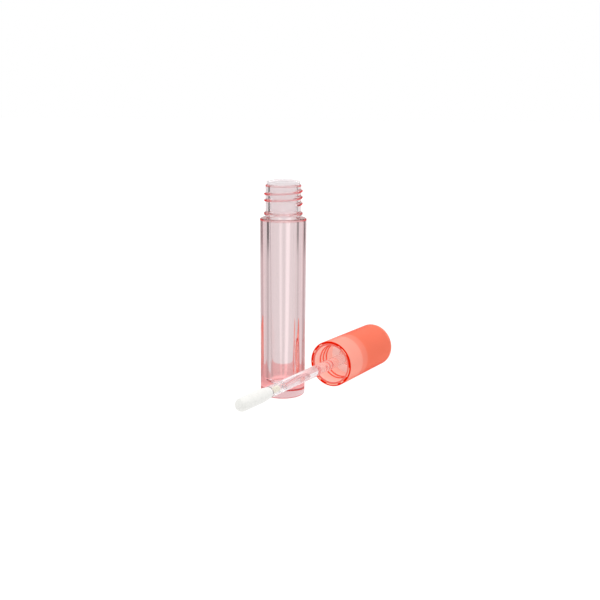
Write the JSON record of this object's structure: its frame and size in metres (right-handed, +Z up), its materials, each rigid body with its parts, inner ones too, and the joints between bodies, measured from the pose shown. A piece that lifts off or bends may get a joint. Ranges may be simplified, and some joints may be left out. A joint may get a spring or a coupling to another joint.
{
  "type": "lip gloss tube",
  "caption": "Round clear lip gloss bottle with a threaded neck and wiper, opened, its screw cap and flocked wand applicator lying beside it.",
  "frame": {"origin": "centre of the bottle's foot, on the surface that it stands on", "axes": "+Z up along the bottle's axis; the applicator lies on its side to the +X side, its cap heading away at 57.5 degrees from +X towards +Y"},
  "size_m": [0.063, 0.0903, 0.0849],
  "materials": {
    "clear_pink_plastic": "clear, faintly pink, polished",
    "wiper_plastic": "soft, milky",
    "coral_plastic": "translucent coral, polished",
    "inner_coral_plastic": "translucent coral",
    "gasket_foam": "closed foam",
    "clear_wand_plastic": "clear, faintly pink",
    "core_plastic": "cream, moulded",
    "flock": "short dense white flocking"
  },
  "bodies": {
    "bottle": {"bottle": "clear_pink_plastic"},
    "wiper": {"wiper": "wiper_plastic"},
    "seal": {"gasket": "gasket_foam"},
    "applicator": {"outer_cap": "coral_plastic", "inner_cap": "inner_coral_plastic", "wand": "clear_wand_plastic", "applicator_core": "core_plastic", "applicator_flock": "flock"}
  },
  "joints": [
    {"name": "wiper_pull", "type": "slide", "parent": "bottle", "child": "wiper", "axis": [0, 0, 1], "range_m": [0, 0.014]},
    {"name": "applicator_draw", "type": "slide", "parent": "bottle", "child": "seal", "axis": [0.5373, 0.8434, 0], "range_m": [0, 0.079]},
    {"name": "cap_turn", "type": "hinge", "parent": "seal", "child": "applicator", "pos_m": [0.01937, 0.00833, 0.0094], "axis": [0.5373, 0.8434, -0.0068], "range_deg": [0, 630]}
  ]
}
